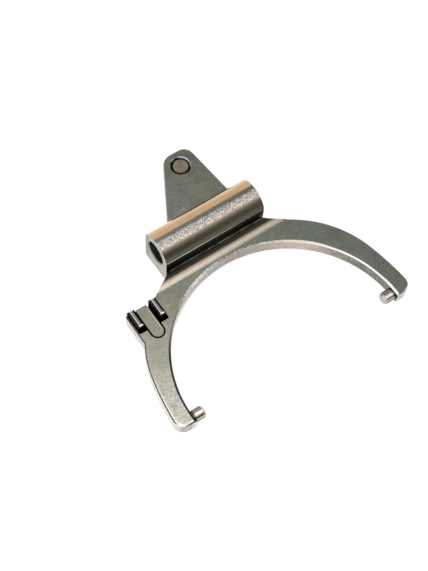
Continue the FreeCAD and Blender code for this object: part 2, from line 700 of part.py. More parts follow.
# Pin: pressed into the tab's hole from below, its upper end just under the face.
pin = new_body("lever_pin")
pin_circle = new_sketch(pin, "pin_circle", "XY_Plane")
ring = add_circle(pin_circle, point(0, 0), pin_radius)
fix(pin_circle, "Coincident", ring, CENTRE, *ORIGIN)
dimension(pin_circle, "diameter", "sizes.pin_diameter", "Diameter", ring)
pad(pin, "shank", pin_circle, "sizes.plate_thickness - sizes.pin_recess")
pin_top = thickness - read("pin_recess")
chamfer(pin, "upper_end", "sizes.pin_chamfer", lambda edge, spot: lies_at(edge, pin_top))
chamfer(pin, "lower_end", "sizes.pin_heel_chamfer", lambda edge, spot: lies_at(edge, 0))
pin.setExpression("Placement.Base.x", "sizes.pin_offset")
pin.setExpression("Placement.Base.y", "sizes.pin_reach")
pin.setExpression("Placement.Base.z", "-sizes.bore_height")

doc.recompute()

for item in doc.Objects:
    if "Invalid" in item.State or "Error" in item.State:
        raise RuntimeError(f"{item.Label} has failed: {item.State}")

os.makedirs("parts", exist_ok=True)
for body in (fork, pin):
    shape = body.Shape
    if shape.isNull() or not shape.isValid():
        raise RuntimeError(f"{body.Label} has no valid shape")
    print(body.Label, "solids", len(shape.Solids), "volume", round(shape.Volume, 2), shape.BoundBox)
    shape.exportStep(f"parts/{body.Label}.step")
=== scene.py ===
# %% [markdown]
# # Dressing a differential shift fork
#
# The fork is one piece of steel: two arms that reach round a sliding collar, a bored boss across
# the crown, a tab with a pressed pin, and a lug with slots and ridges. Its shape is already right
# in the CAD model, so this lesson is about light and finish. Bare metal has almost no colour of
# its own. What we see on it is the room, so the room is built first and the steel after it.

# %% Load the model
import math

import bmesh
import bpy
from mathutils import Matrix, Vector


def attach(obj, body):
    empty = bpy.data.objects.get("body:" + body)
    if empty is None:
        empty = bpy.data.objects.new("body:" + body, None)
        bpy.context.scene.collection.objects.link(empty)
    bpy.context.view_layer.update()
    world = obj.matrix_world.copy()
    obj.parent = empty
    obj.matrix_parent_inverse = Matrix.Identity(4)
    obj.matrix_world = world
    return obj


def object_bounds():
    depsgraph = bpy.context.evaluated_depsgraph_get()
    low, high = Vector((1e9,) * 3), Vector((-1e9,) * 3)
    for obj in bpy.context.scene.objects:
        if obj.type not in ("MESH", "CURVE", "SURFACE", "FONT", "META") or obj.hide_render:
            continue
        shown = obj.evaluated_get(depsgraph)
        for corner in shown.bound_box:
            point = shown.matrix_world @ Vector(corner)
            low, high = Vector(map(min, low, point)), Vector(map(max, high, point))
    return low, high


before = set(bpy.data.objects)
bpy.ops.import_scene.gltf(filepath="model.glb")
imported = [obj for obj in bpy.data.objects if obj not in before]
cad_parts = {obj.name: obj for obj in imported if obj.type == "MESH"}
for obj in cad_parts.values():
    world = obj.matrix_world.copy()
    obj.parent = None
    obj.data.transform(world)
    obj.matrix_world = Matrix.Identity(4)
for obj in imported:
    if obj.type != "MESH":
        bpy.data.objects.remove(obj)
fork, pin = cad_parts["shift_fork"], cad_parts["lever_pin"]
cad_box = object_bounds()
MM = 0.001
print("the model's box in mm:", [[round(c / MM, 2) for c in corner] for corner in cad_box])

# %% [markdown]
# ## Where things are on the fork
#
# Every finish below has a place on the metal. The places come from a few sizes of the CAD model,
# which could be read off its drawing. They are in millimetres from the middle of the boss's bore:
# x runs along the bore, y from the mouth towards the tab, and z up.

# %% Sizes of the model, in mm
MOUTH, MOUTH_RADIUS = (0.0, -62.7), 48.0
PLATE_TOP, UNDERSIDE = -5.5, -11.2
BEVEL_WIDTH, BEVEL_DEPTH = 0.9, 0.5              # of the bevel along the mouth's top edge
BORE, BORE_RADIUS = (0.0, 0.0), 5.0
BOSS_HALF, BOSS_FRONT, BOSS_BACK = 23.4, -7.8, 7.1
SHOULDER, WEB_TOP = 2.5, -0.2                    # top and foot of the boss's front wall
WEB_FRONT, WEB_HALF = -13.1, 33.0                # where the web runs out into the plate
STUB_RADIUS = 2.5
PIN, PIN_HOLE_RADIUS = (9.65, 31.6), 4.0
LUG_LEFT, LUG_RIGHT, LUG_FRONT, LUG_BACK = -46.48, -32.8, -29.9, -14.0
TONGUE_LEFT, TONGUE_RIGHT = -42.3, -37.5
ARM, ARM_RADIUS = (66.74, -69.46), 122.4         # the arc of the left arm's outer side
TIP, TIP_RADIUS = (-50.87, -61.2), 4.5           # the round corner at that arm's tip
ARM_END = -65.7
print("mouth", 2 * MOUTH_RADIUS, "mm wide, bore", 2 * BORE_RADIUS, "mm")

# %% [markdown]
# ## The camera
#
# The picture was taken from the left front, looking down steeply, with the camera turned a little
# about its own axis. Three angles and a distance say all of that, and the focal length follows
# from how large the fork is in the frame. The long side of the picture is what the 36 mm sensor
# spans.

# %% Camera from three angles and a distance
PHOTO_WIDE, PHOTO_HIGH = 428, 571
FOCUS_PIXELS = 1235.0
TURN, HEIGHT, TILT = -39.06, 62.20, 5.21         # degrees
EYE = (-0.6506, 0.5731, 9.9981)                  # right, up and away, in radii of the mouth

turn, height, tilt = (math.radians(a) for a in (TURN, HEIGHT, TILT))
away = Vector((math.sin(turn) * math.cos(height), -math.cos(turn) * math.cos(height),
               math.sin(height)))
level = Vector((math.cos(turn), math.sin(turn), 0))
upward = away.cross(level)
right = level * math.cos(tilt) + upward * math.sin(tilt)
up = upward * math.cos(tilt) - level * math.sin(tilt)
mouth_centre = Vector([c * MM for c in (*MOUTH, UNDERSIDE)])
eye = mouth_centre + (right * EYE[0] + up * EYE[1] + away * EYE[2]) * (MOUTH_RADIUS * MM)

lens = bpy.data.cameras.new("camera")
lens.sensor_width = 36
lens.lens = FOCUS_PIXELS / max(PHOTO_WIDE, PHOTO_HIGH) * lens.sensor_width
lens.clip_start = 0.01
camera = bpy.data.objects.new("camera", lens)
camera.matrix_world = Matrix([(right[i], up[i], away[i], eye[i]) for i in range(3)]
                             + [(0, 0, 0, 1)])
bpy.context.scene.collection.objects.link(camera)
bpy.context.scene.camera = camera
bpy.context.scene.view_settings.view_transform = "Standard"
print("eye at", [round(c, 3) for c in eye], "lens", round(lens.lens, 2), "mm")

# %% [markdown]
# ## A small kit for shader nodes
#
# A finish is a few dozen nodes. Placing them by hand takes pages, so this kit makes a node, sets
# its sockets and returns its output in one line. A number stays a number and an output becomes a
# link.

# %% Nodes in one line
class Nodes:
    """Adds nodes to one node tree. Every call returns the new node's output."""

    def __init__(self, tree):
        self.tree = tree
        tree.nodes.clear()

    def plug(self, socket, value):
        """Links an output to a socket, or sets the socket's own value."""
        if isinstance(value, bpy.types.NodeSocket):
            self.tree.links.new(value, socket)
        else:
            socket.default_value = (*value, 1) if socket.type == "RGBA" else value

    def feed(self, kind, *values):
        """A node whose first sockets take the values in their order."""
        made = self.tree.nodes.new(kind)
        for socket, value in zip(made.inputs, values):
            self.plug(socket, value)
        return made

    def node(self, kind, output=0, **sockets):
        """A node whose sockets and settings are given by name."""
        made = self.tree.nodes.new(kind)
        for name, value in sockets.items():
            if hasattr(made, name):
                setattr(made, name, value)
            else:
                self.plug(made.inputs[name.replace("_", " ")], value)
        return made.outputs[output] if made.outputs else made

    def math(self, operation, *values):
        made = self.feed("ShaderNodeMath", *values)
        made.operation = operation
        return made.outputs[0]

    def fold(self, operation, first, *others):
        """Takes one value after the other into the same sum, product or maximum."""
        for other in others:
            first = self.math(operation, first, other)
        return first

    def split(self, vector):
        return self.feed("ShaderNodeSeparateXYZ", vector).outputs[:]

    def reach(self, first, second, spot):
        """How far a pair of coordinates is from a fixed spot."""
        across = self.math("POWER", self.math("SUBTRACT", first, spot[0]), 2.0)
        along = self.math("POWER", self.math("SUBTRACT", second, spot[1]), 2.0)
        return self.math("SQRT", self.math("ADD", across, along))

    def noise(self, place, scale, detail=2.0, roughness=0.5, distortion=0.0):
        return self.node("ShaderNodeTexNoise", Vector=place, Scale=scale, Detail=detail,
                         Roughness=roughness, Distortion=distortion)


print("plain nodes:", [name for name in vars(Nodes) if not name.startswith("_")])

# %% [markdown]
# ## Masks and coats
#
# A mask is a number from 0 to 1 that says where something is. Masks are multiplied to keep what
# they share, and the larger of two keeps both. A coat is a mask and a colour: a finish is laid on
# coat by coat, as paint would be, so each line can be tried and taken out again by itself.

# %% Masks, ramps and coats
class Shader(Nodes):
    """Nodes, with masks and colours."""

    def rise(self, value, start, end):
        """0 before start, 1 after end and a soft step between. With end below start it falls."""
        low, high = min(start, end), max(start, end)
        first, last = (0.0, 1.0) if start < end else (1.0, 0.0)
        made = self.feed("ShaderNodeMapRange", value, low, high, first, last)
        made.interpolation_type = "SMOOTHSTEP"
        return made.outputs[0]

    def remap(self, value, start, end, first, last):
        return self.feed("ShaderNodeMapRange", value, start, end, first, last).outputs[0]

    def blend(self, mask, first, second):
        """A number that goes from first to second as the mask goes from 0 to 1."""
        return self.remap(mask, 0.0, 1.0, first, second)

    def unit(self, value):
        """Part of a direction, from -1 to 1, as a place from 0 to 1 along a ramp."""
        return self.remap(value, -1.0, 1.0, 0.0, 1.0)

    def every(self, *masks):
        """1 only where every mask is 1. A plain number weakens the others."""
        return self.fold("MULTIPLY", *masks)

    def either(self, *masks):
        return self.fold("MAXIMUM", *masks)

    def mix(self, mask, first, second, blend="MIX"):
        made = self.tree.nodes.new("ShaderNodeMix")
        made.data_type, made.blend_type = "RGBA", blend
        for socket, value in zip([made.inputs[i] for i in (0, 6, 7)], (mask, first, second)):
            self.plug(socket, value)
        return made.outputs[2]

    def coat(self, colour, *coats):
        """Lays coats on a colour: each a mask, its colour and, if it only darkens, MULTIPLY."""
        for mask, over, *blend in coats:
            colour = self.mix(mask, colour, over, *blend)
        return colour

    def ramp(self, value, *stops):
        """Colours along a value: each stop is a position and a colour."""
        made = self.tree.nodes.new("ShaderNodeValToRGB")
        points = made.color_ramp.elements
        while len(points) < len(stops):
            points.new(1.0)
        for point, (position, colour) in zip(points, stops):
            point.position, point.color = position, (*colour, 1)
        self.plug(made.inputs[0], value)
        return made.outputs[0]


print("masks and colours:", [name for name in vars(Shader) if not name.startswith("_")])

# %% [markdown]
# ## The room
#
# Bare steel shows the room, so the room is drawn first, as one world shader that colours every
# direction. A large soft light hangs to the left of straight above, and its right edge is what
# makes the plate pale at the left arm's tip and grey on the right arm. A second, smaller light at
# the front right puts the glint on the stubs and on the mouth's bevel. A warm wall low behind the
# fork turns into the tan band along the boss. Everything else is nearly dark.
#
# Real lamps and cards would do as well. Here each light is a short table of tones round its
# middle, so its size, its edge and its place can be changed one by one, and nothing stands in the
# way of the camera.

# %% The two lights, as tones round their middles
SOFT_LIGHT = (-0.36, -0.12)                      # where each light stands, as seen from above
FRONT_LIGHT = (0.57, -0.50)
SOFT_REACH = 1.6                                 # a little past the farthest direction from it
SOFT_TONES = (
    (0.660, (0.87, 0.86, 0.84)), (0.700, (0.80, 0.79, 0.77)), (0.725, (0.64, 0.63, 0.61)),
    (0.745, (0.48, 0.475, 0.46)), (0.766, (0.385, 0.385, 0.37)), (0.790, (0.31, 0.315, 0.30)),
    (0.845, (0.215, 0.222, 0.21)), (0.870, (0.178, 0.185, 0.178)), (0.900, (0.135, 0.14, 0.13)),
    (0.950, (0.065, 0.066, 0.058)), (1.050, (0.032, 0.031, 0.026)), (1.300, (0.018, 0.017, 0.014)))
FRONT_TONES = (
    (0.08, (0.93, 0.86, 0.81)), (0.20, (0.50, 0.45, 0.42)), (0.30, (0.23, 0.20, 0.185)),
    (0.40, (0.10, 0.087, 0.08)), (0.50, (0.0, 0.0, 0.0)))
print("lights at", SOFT_LIGHT, FRONT_LIGHT)

# %% World of directions
ROOM_LEVEL = 1.5
WALL_START, WALL_END = (41, 46), (122, 112)      # degrees back from straight above, soft ends
WALL_TONE = (0.84, 0.585, 0.375)

world = bpy.data.worlds.new("room")
bpy.context.scene.world = world
world.use_nodes = True
room = Shader(world.node_tree)
east, north, sky = room.split(room.node("ShaderNodeTexCoord", output="Generated"))

from_soft = room.remap(room.reach(east, north, SOFT_LIGHT), 0.0, SOFT_REACH, 0.0, 1.0)
soft_light = room.ramp(from_soft, *[(far / SOFT_REACH, tone) for far, tone in SOFT_TONES])
front_light = room.ramp(room.reach(east, north, FRONT_LIGHT), *FRONT_TONES)
over_back = room.math("MULTIPLY", room.math("ARCTAN2", north, sky), 180 / math.pi)
wall = room.every(room.rise(over_back, *WALL_START), room.rise(over_back, *WALL_END))
room_colour = room.coat(soft_light, (1.0, front_light, "ADD"), (wall, WALL_TONE))
background = room.node("ShaderNodeBackground", Color=room_colour, Strength=ROOM_LEVEL)
room.node("ShaderNodeOutputWorld", Surface=background)
print("room level", ROOM_LEVEL, "with", len(room.tree.nodes), "nodes")

# %% [markdown]
# ## The floor
#
# The fork lies on plain white. A white floor mirrored in steel is what makes the outer walls
# pale, so the floor is the same white to the camera and to the reflections, and a small share of
# it is an ordinary matt surface that keeps the fork's soft shadow. It is wide, so that it has no
# end in sight.

# %% Objects and materials
def mesh_object(name, shape):
    """Turns a finished bmesh into an object in the scene."""
    bmesh.ops.recalc_face_normals(shape, faces=shape.faces)
    mesh = bpy.data.meshes.new(name)
    shape.to_mesh(mesh)
    shape.free()
    made = bpy.data.objects.new(name, mesh)
    bpy.context.scene.collection.objects.link(made)
    return made


def material(name):
    """A new material and the shader that fills it."""
    made = bpy.data.materials.new(name)
    made.use_nodes = True
    return made, Shader(made.node_tree)


# %% White floor
FLOOR_SIZE, FLOOR_GAP = 9.0, 0.02 * MM
WHITE_SHARE = 0.90                               # the rest of it is matt and takes the shadow

sheet = bmesh.new()
bmesh.ops.create_grid(sheet, x_segments=1, y_segments=1, size=FLOOR_SIZE)
bmesh.ops.translate(sheet, vec=(0, 0, cad_box[0][2] - FLOOR_GAP), verts=sheet.verts)
floor = mesh_object("floor", sheet)
floor_paint, paint = material("white_floor")
rays = paint.node("ShaderNodeLightPath", output="Is Camera Ray").node.outputs
seen = paint.either(*[rays[f"Is {kind} Ray"] for kind in ("Camera", "Glossy", "Transmission")])
matt = paint.node("ShaderNodeBsdfDiffuse", Color=(0.9, 0.9, 0.9))
white = paint.node("ShaderNodeEmission", Color=(1, 1, 1), Strength=1.0)
surface = paint.feed("ShaderNodeMixShader", paint.every(seen, WHITE_SHARE), matt, white)
paint.node("ShaderNodeOutputMaterial", Surface=surface.outputs[0])
floor.data.materials.append(floor_paint)
print("floor at z =", round(cad_box[0][2], 4))

# %% [markdown]
# ## One lamp for the matt surfaces
#
# The world alone would leave the floor dim. A wide lamp almost straight above lights matt
# surfaces at a plain level. It is hidden from reflections, because the steel already mirrors the
# room.

# %% Lamp
LAMP_SIZE, LAMP_POWER = 0.9, 9.0
LAMP_SIDE, LAMP_HEIGHT = -0.10, 1.0

lamp_data = bpy.data.lights.new("overhead", "AREA")
lamp_data.shape, lamp_data.size, lamp_data.energy = "DISK", LAMP_SIZE, LAMP_POWER
lamp = bpy.data.objects.new("overhead", lamp_data)
lamp.location = (LAMP_SIDE, 0.0, LAMP_HEIGHT)
lamp.rotation_euler = (0, math.atan2(LAMP_SIDE, LAMP_HEIGHT), 0)
lamp.visible_glossy = False
bpy.context.scene.collection.objects.link(lamp)
print("lamp", lamp_data.energy, "W")

# %% [markdown]
# ## The parting line
#
# Where the two halves of the forging die met, a hair of metal squeezed out along the boss.
# Trimming leaves a bead a seventh of a millimetre high, and its worn top is the bright line
# between the rounded crown and the dark front wall. A thin rod, half sunk in the shoulder, is all
# it takes.

# %% Bead along the boss's front shoulder
BEAD_RADIUS, BEAD_SPAN = 0.15 * MM, 46.4 * MM
BEAD_PLACE = (0, (BOSS_FRONT - 0.02) * MM, (SHOULDER - 0.25) * MM)

rod = bmesh.new()
bmesh.ops.create_cone(rod, cap_ends=True, segments=12, radius1=BEAD_RADIUS, radius2=BEAD_RADIUS,
                      depth=BEAD_SPAN)
quarter_turn = Matrix.Rotation(math.pi / 2, 3, "Y")
bmesh.ops.rotate(rod, cent=(0, 0, 0), matrix=quarter_turn, verts=rod.verts)
bmesh.ops.translate(rod, vec=BEAD_PLACE, verts=rod.verts)
bead = mesh_object("parting_bead", rod)
for face in bead.data.polygons:
    face.use_smooth = abs(face.normal.x) < 0.5
bead_paint, rubbed = material("rubbed_edge")
rubbed.node("ShaderNodeOutputMaterial", Surface=rubbed.node(
    "ShaderNodeBsdfPrincipled", Base_Color=(0.64, 0.61, 0.57), Metallic=1.0, Roughness=0.25))
bead.data.materials.append(bead_paint)
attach(bead, "root")
print("bead with", len(bead.data.vertices), "points")

# %% [markdown]
# ## Fork steel: where each finish is
#
# One forging, several finishes, with painted light and shade among them. The flat faces are ground
# and faintly mottled, and painted reflection makes them grey-green on the right and warmer on the
# left arm. The boss keeps its blasted grain, which glitters, helped by painted glints. The hollow
# web and the boss's front wall were never machined; painted shade makes them dark, fading to bare
# metal where the web runs out into the plate. The sheared outer walls are pale. A painted dark
# line runs along the broken edges, and the slots in the lug are painted black as shade.
#
# Separate materials on chosen faces would need the faces of the CAD mesh to follow each finish.
# Masks made from the surface's place and direction need nothing of the mesh, and every finish
# stays where it is on the metal, whatever the light.

# %% Place, direction and steps in mm
fork_paint, steel = material("fork_steel")
coordinates = steel.node("ShaderNodeTexCoord", output="Object").node.outputs
place, facing = coordinates["Object"], coordinates["Normal"]
x, y, z = steel.split(place)
nx, ny, nz = steel.split(facing)
side, sideways = steel.math("ABSOLUTE", x), steel.math("ABSOLUTE", nx)


def step(value, start, end):
    """0 at start and 1 at end, both in mm, with a soft step between them."""
    return steel.rise(value, start * MM, end * MM)


def above(value, level, soft=0.1):
    """1 where a length is past a level in mm."""
    return step(value, level - soft, level + soft)


def below(value, level, soft=0.1):
    """1 where a length is short of a level in mm."""
    return step(value, level + soft, level - soft)


def between(value, low, high, soft=0.1):
    return steel.every(above(value, low, soft), below(value, high, soft))


def far_from(spot, first=x, second=y):
    """The distance from a spot that is given in mm."""
    return steel.reach(first, second, [c * MM for c in spot])


def tally(made):
    """Says what was added, and how large the shader is by now."""
    print(made + ":", "fork_steel now has", len(steel.tree.nodes), "nodes")


from_mouth = far_from(MOUTH)
tally("directions and lengths")

# %% On the boss
in_boss = steel.every(below(side, BOSS_HALF + 0.2), between(y, BOSS_FRONT - 0.5, BOSS_BACK + 0.5))
crown = steel.every(in_boss, above(z, SHOULDER - 0.3, 0.3), steel.rise(sideways, 0.6, 0.3))
boss_end = steel.every(in_boss, steel.rise(sideways, 0.6, 0.9))
front_wall = steel.every(in_boss, steel.rise(ny, -0.75, -0.95),
                         between(z, WEB_TOP - 0.2, SHOULDER + 0.2))
web = steel.every(between(y, WEB_FRONT - 0.1, BOSS_FRONT + 0.2, 0.3),
                  between(z, PLATE_TOP - 0.12, WEB_TOP + 0.1, 0.06), below(side, WEB_HALF))
from_bore = far_from(BORE, y, z)
bore = steel.every(in_boss, step(from_bore, BORE_RADIUS + 0.25, BORE_RADIUS + 0.10),
                   below(side, BOSS_HALF - 0.2, 0.1))
bore_lip = steel.every(in_boss, step(from_bore, BORE_RADIUS + 0.45, BORE_RADIUS + 0.32),
                       above(side, BOSS_HALF - 0.25, 0.05))
tally("masks on the boss")

# %% On the walls and edges
inward = steel.math("MAXIMUM", steel.math("ADD", y, -MOUTH[1] * MM), 0.0)
round_mouth = steel.math("DIVIDE", steel.math("ARCTAN2", inward, x), math.pi)
low_wall = steel.every(steel.rise(nz, 0.40, 0.15), below(z, PLATE_TOP - 0.25, 0.05))
mouth_wall = steel.every(low_wall, below(from_mouth, MOUTH_RADIUS + 0.25, 0.1),
                         below(side, MOUTH_RADIUS + 0.05, 0.02))
mouth_bevel = steel.every(steel.rise(nz, 0.6, 0.8), steel.rise(nz, 0.96, 0.91),
                          below(from_mouth, MOUTH_RADIUS + BEVEL_WIDTH + 0.2),
                          above(z, PLATE_TOP - BEVEL_DEPTH - 0.1))
outer_wall = steel.every(low_wall, above(from_mouth, MOUTH_RADIUS + 2.0, 0.5))
edge = steel.every(steel.rise(nz, 0.50, 0.62), steel.rise(nz, 0.90, 0.80),
                   between(z, PLATE_TOP - 0.5, PLATE_TOP + 0.1, 0.05),
                   above(from_mouth, MOUTH_RADIUS + 1.6, 0.2))
stub = steel.every(below(side, MOUTH_RADIUS - 0.1, 0.1),
                   below(y, MOUTH[1] + STUB_RADIUS + 0.2, 0.05), below(z, PLATE_TOP - 0.6, 0.05))
tally("masks on the walls and edges")

# %% In the lug
in_lug = steel.every(between(x, LUG_LEFT, LUG_RIGHT, 0.03), between(y, LUG_FRONT, LUG_BACK, 0.03),
                     above(from_mouth, MOUTH_RADIUS + 1.3, 0.05))
sunk = steel.every(in_lug, below(z, PLATE_TOP - 0.06, 0.03))
rib_side = steel.every(in_lug, steel.rise(nz, 0.45, 0.20), above(z, PLATE_TOP - 0.1, 0.03))
rib_top = steel.every(in_lug, above(z, PLATE_TOP + 1.5, 0.3), steel.rise(nz, 0.2, 0.45))
tally("masks in the lug")

# %% [markdown]
# ## Grain and clouds
#
# Ground steel isn't even: oil leaves clouds a few millimetres wide, handling leaves patches, and
# the blasting leaves a grain that is just too fine to count. Each is a noise of its own size. The
# last one is stretched along the boss, as the marks of a tool that passed over it.

# %% Noises, from coarse to fine
cloudy = steel.noise(place, 150.0, 4.0, 0.65, 0.6)
patchy = steel.noise(place, 420.0, 3.0, 0.6, 0.3)
grainy = steel.noise(place, 900.0, 3.0, 0.75)
fine = steel.noise(place, 1500.0, 2.0, 0.7)
sparks = steel.noise(place, 1700.0, 2.0, 0.8)
stretched = steel.feed("ShaderNodeVectorMath", place, (0.12, 1.0, 1.0))
stretched.operation = "MULTIPLY"
streaks = steel.noise(stretched.outputs[0], 900.0, 3.0, 0.6)
tally("noises")

# %% [markdown]
# ## The ground faces
#
# A plate's top mirrors one part of the room, so a flat face would be one flat tone. Broad masks
# paint the change of reflected light across the plate into its colour, pale at the left arm's tip
# and grey-green on the right arm, along with some real change of tone, and the noises break them
# up.

# %% Ground colours by place, with painted reflection
to_left = step(x, -6, -30)
on_arm = steel.every(step(x, -26, -37), step(y, -12, -27))
to_tip = steel.every(step(x, -40, -47), step(y, -34, -58))
to_right_tip = steel.every(step(x, 40, 48), step(y, -45, -60))
tab_right = steel.every(step(x, -2, 10), step(y, 10, 16))
# painted reflection: these tones by place stand in for how the plate's reflection changes across
# it
plate_colour = steel.coat(
    (0.50, 0.545, 0.475), (to_left, (0.425, 0.42, 0.325)), (on_arm, (0.53, 0.515, 0.43)),
    (to_tip, (0.80, 0.765, 0.695)), (to_right_tip, (0.42, 0.44, 0.38)),
    (tab_right, (0.57, 0.575, 0.475)))
tally("ground colours")

# %% Mottling, pits and specks
warm = steel.every(steel.rise(patchy, 0.50, 0.66), steel.blend(to_left, 0.35, 0.8))
warm_tone = steel.mix(to_left, (0.56, 0.545, 0.46), (0.63, 0.565, 0.49))
pitted = steel.every(steel.rise(grainy, 0.52, 0.42), steel.blend(to_tip, 0.25, 0.60))
speckled = steel.blend(steel.every(to_left, below(y, -46.0, 7.0)), 0.05, 0.55)
plate_colour = steel.coat(
    plate_colour, (warm, warm_tone),
    (steel.every(steel.rise(cloudy, 0.52, 0.38), 0.55), (0.41, 0.45, 0.42)),
    (steel.every(steel.rise(fine, 0.40, 0.68), 0.35), (0.68, 0.67, 0.59)),
    (pitted, (0.40, 0.385, 0.35)),
    (steel.every(steel.rise(fine, 0.46, 0.36), speckled), (0.62, 0.62, 0.62), "MULTIPLY"),
    (steel.every(steel.rise(fine, 0.56, 0.66), speckled), (0.96, 0.92, 0.84)),
    (steel.every(steel.rise(streaks, 0.42, 0.62), 0.5), (0.84, 0.85, 0.83), "MULTIPLY"))
tally("mottling")

# %% [markdown]
# ## Marks, painted highlights and painted shade on the plate
#
# A painted highlight runs along the left arm's rim just inside its dark edge, the tab has two
# small bright spots, the tongue is a little darker than the plate with a painted highlight along
# its right side, and painted shade sits in the corner where the tab meets the boss. Each has a
# plain shape, so distances and levels are enough for them.

# %% Painted highlight along the left arm's rim
along_arm = steel.every(between(far_from(ARM), ARM_RADIUS - 1.05, ARM_RADIUS - 0.4, 0.12),
                        above(y, TIP[1]))
round_tip = steel.every(between(far_from(TIP), TIP_RADIUS - 1.2, TIP_RADIUS - 0.35, 0.12),
                        below(y, TIP[1]), below(x, TIP[0]))
across_end = steel.every(between(y, ARM_END + 0.3, ARM_END + 1.2, 0.12), above(x, TIP[0]))
# painted highlight: a bright line just inside the left arm's dark edge
rim_highlight = steel.every(steel.either(along_arm, round_tip, across_end), step(x, -44, -46),
                  step(y, -34, -56), steel.rise(nz, 0.95, 0.99),
                  steel.blend(steel.rise(grainy, 0.40, 0.56), 0.65, 1.0))
tally("rim mask")

# %% Spots, tongue and painted shade
spots = steel.either(step(far_from((-2.3, 17.4)), 0.55, 0.15),
                     step(far_from((-0.9, 13.7)), 1.3, 0.3))
tongue = steel.every(between(x, TONGUE_LEFT, TONGUE_RIGHT), between(y, -29.1, LUG_BACK))
# painted highlight along the tongue's right edge
tongue_edge_highlight = steel.every(between(x, TONGUE_RIGHT - 0.6, TONGUE_RIGHT, 0.12),
                         between(y, -27.0, -16.0, 0.8))
on_tab = between(x, -11.5, 16.5, 0.6)
# painted shade in the corner where the tab meets the boss
tab_corner_shade = steel.every(on_tab, between(y, BOSS_BACK - 0.7, BOSS_BACK + 0.9, 0.5),
                    above(z, PLATE_TOP - 0.2))
plate_colour = steel.coat(
    plate_colour, (steel.every(spots, 0.5), (0.95, 0.95, 0.85)), (rim_highlight, (1.0, 0.98, 0.92)),
    (steel.every(tongue, 0.45), (0.47, 0.44, 0.32)),
    (steel.every(tongue_edge_highlight, 0.6), (0.85, 0.82, 0.72)),
    (steel.every(tab_corner_shade, 0.8), (0.12, 0.10, 0.08)))
tally("spots, tongue and grime")

# %% [markdown]
# ## The boss's crown
#
# Round the crown the surface turns from front to back, and what it mirrors changes in bands along
# it; those bands are painted into its colour as painted reflection. The blasted front glitters
# with sparks, the top is rubbed smooth, and the back has tan and cream painted reflection of the
# warm wall, ending in a painted dark line above the tab. The direction's y part says where round
# the crown a point is.

# %% Sparks on the blasted front, painted into the colour as glints
def sparkle(start, dark, bright):
    """Steel with bright painted glints as sparks: a higher start leaves fewer of them."""
    return steel.mix(steel.rise(sparks, start, 0.60), dark, bright)


grain_and_painted_glints = steel.coat(
    sparkle(0.44, (0.27, 0.265, 0.265), (0.84, 0.81, 0.78)),
    (steel.rise(ny, -0.20, -0.30), sparkle(0.42, (0.27, 0.245, 0.225), (0.72, 0.66, 0.61))),
    (steel.rise(ny, -0.34, -0.42), sparkle(0.42, (0.32, 0.285, 0.245), (0.78, 0.69, 0.62))))
tally("sparks")

# %% Painted reflection bands from front to back
# painted shade: the dark line along the crown's back above the tab
behind_tab_shade = steel.every(on_tab, steel.rise(ny, 0.70, 0.78))
# painted reflection: each band's tone stands in for what that part of the crown mirrors; the last
# coat paints a dark line before the front shoulder
crown_tone_and_painted_light = steel.coat(
    grain_and_painted_glints, (steel.rise(ny, -0.46, -0.58), (0.33, 0.295, 0.225)),
    (steel.rise(ny, -0.70, -0.80), (0.56, 0.52, 0.40)),
    (steel.rise(ny, -0.02, 0.06), (0.68, 0.625, 0.53)),
    (steel.rise(ny, 0.10, 0.20), (0.48, 0.45, 0.415)),
    (steel.rise(ny, 0.42, 0.58), (0.66, 0.52, 0.375)),
    (steel.every(steel.rise(streaks, 0.44, 0.60), steel.rise(ny, 0.05, 0.25), 0.8),
     (0.84, 0.84, 0.85), "MULTIPLY"),
    (steel.rise(ny, 0.70, 0.82), (0.84, 0.77, 0.67)), (behind_tab_shade, (0.11, 0.09, 0.065)),
    (steel.rise(ny, -0.76, -0.86), (0.10, 0.095, 0.07)))
tally("crown")

# %% [markdown]
# ## The hollow web
#
# The web was never machined. Its colour is painted by direction: painted shade makes the hollow
# black, one thin painted highlight runs along it, and towards the plate it turns to bare warm
# metal. The hollow turns evenly from upright to flat, so the direction's z part is a ruler across
# it.

# %% Painted shade and highlight, lighter towards the plate
web_painted_light = steel.ramp(
    nz, (0.10, (0.05, 0.05, 0.042)), (0.26, (0.010, 0.010, 0.008)), (0.50, (0.003, 0.003, 0.002)),
    (0.545, (0.20, 0.20, 0.19)), (0.574, (0.70, 0.72, 0.68)), (0.61, (0.30, 0.31, 0.27)),
    (0.70, (0.18, 0.195, 0.165)), (0.80, (0.066, 0.062, 0.05)), (0.866, (0.050, 0.046, 0.035)),
    (0.927, (0.28, 0.245, 0.205)), (0.966, (0.49, 0.425, 0.36)), (0.99, (0.72, 0.64, 0.53)))
web_colour = steel.coat(
    web_painted_light,
    (steel.every(steel.rise(cloudy, 0.40, 0.56), steel.rise(nz, 0.80, 0.66), 0.8),
     (0.30, 0.30, 0.29), "MULTIPLY"),
    (steel.every(steel.rise(grainy, 0.50, 0.62), 0.35), (0.62, 0.60, 0.56), "MULTIPLY"))
tally("web")

# %% [markdown]
# ## The mouth's wall and bevel
#
# The wall inside the mouth is cut metal with faint marks, and the bevel above it catches the
# light. Both change along the arc as their reflections do, and the ramps paint that into their
# colour: painted highlights in one stretch, tan painted reflection at the crown and painted shade,
# nearly black, on the left. An angle, 0 at the right arm and 1 at the left one, runs round the
# mouth, and a ramp along it gives each stretch its tone.

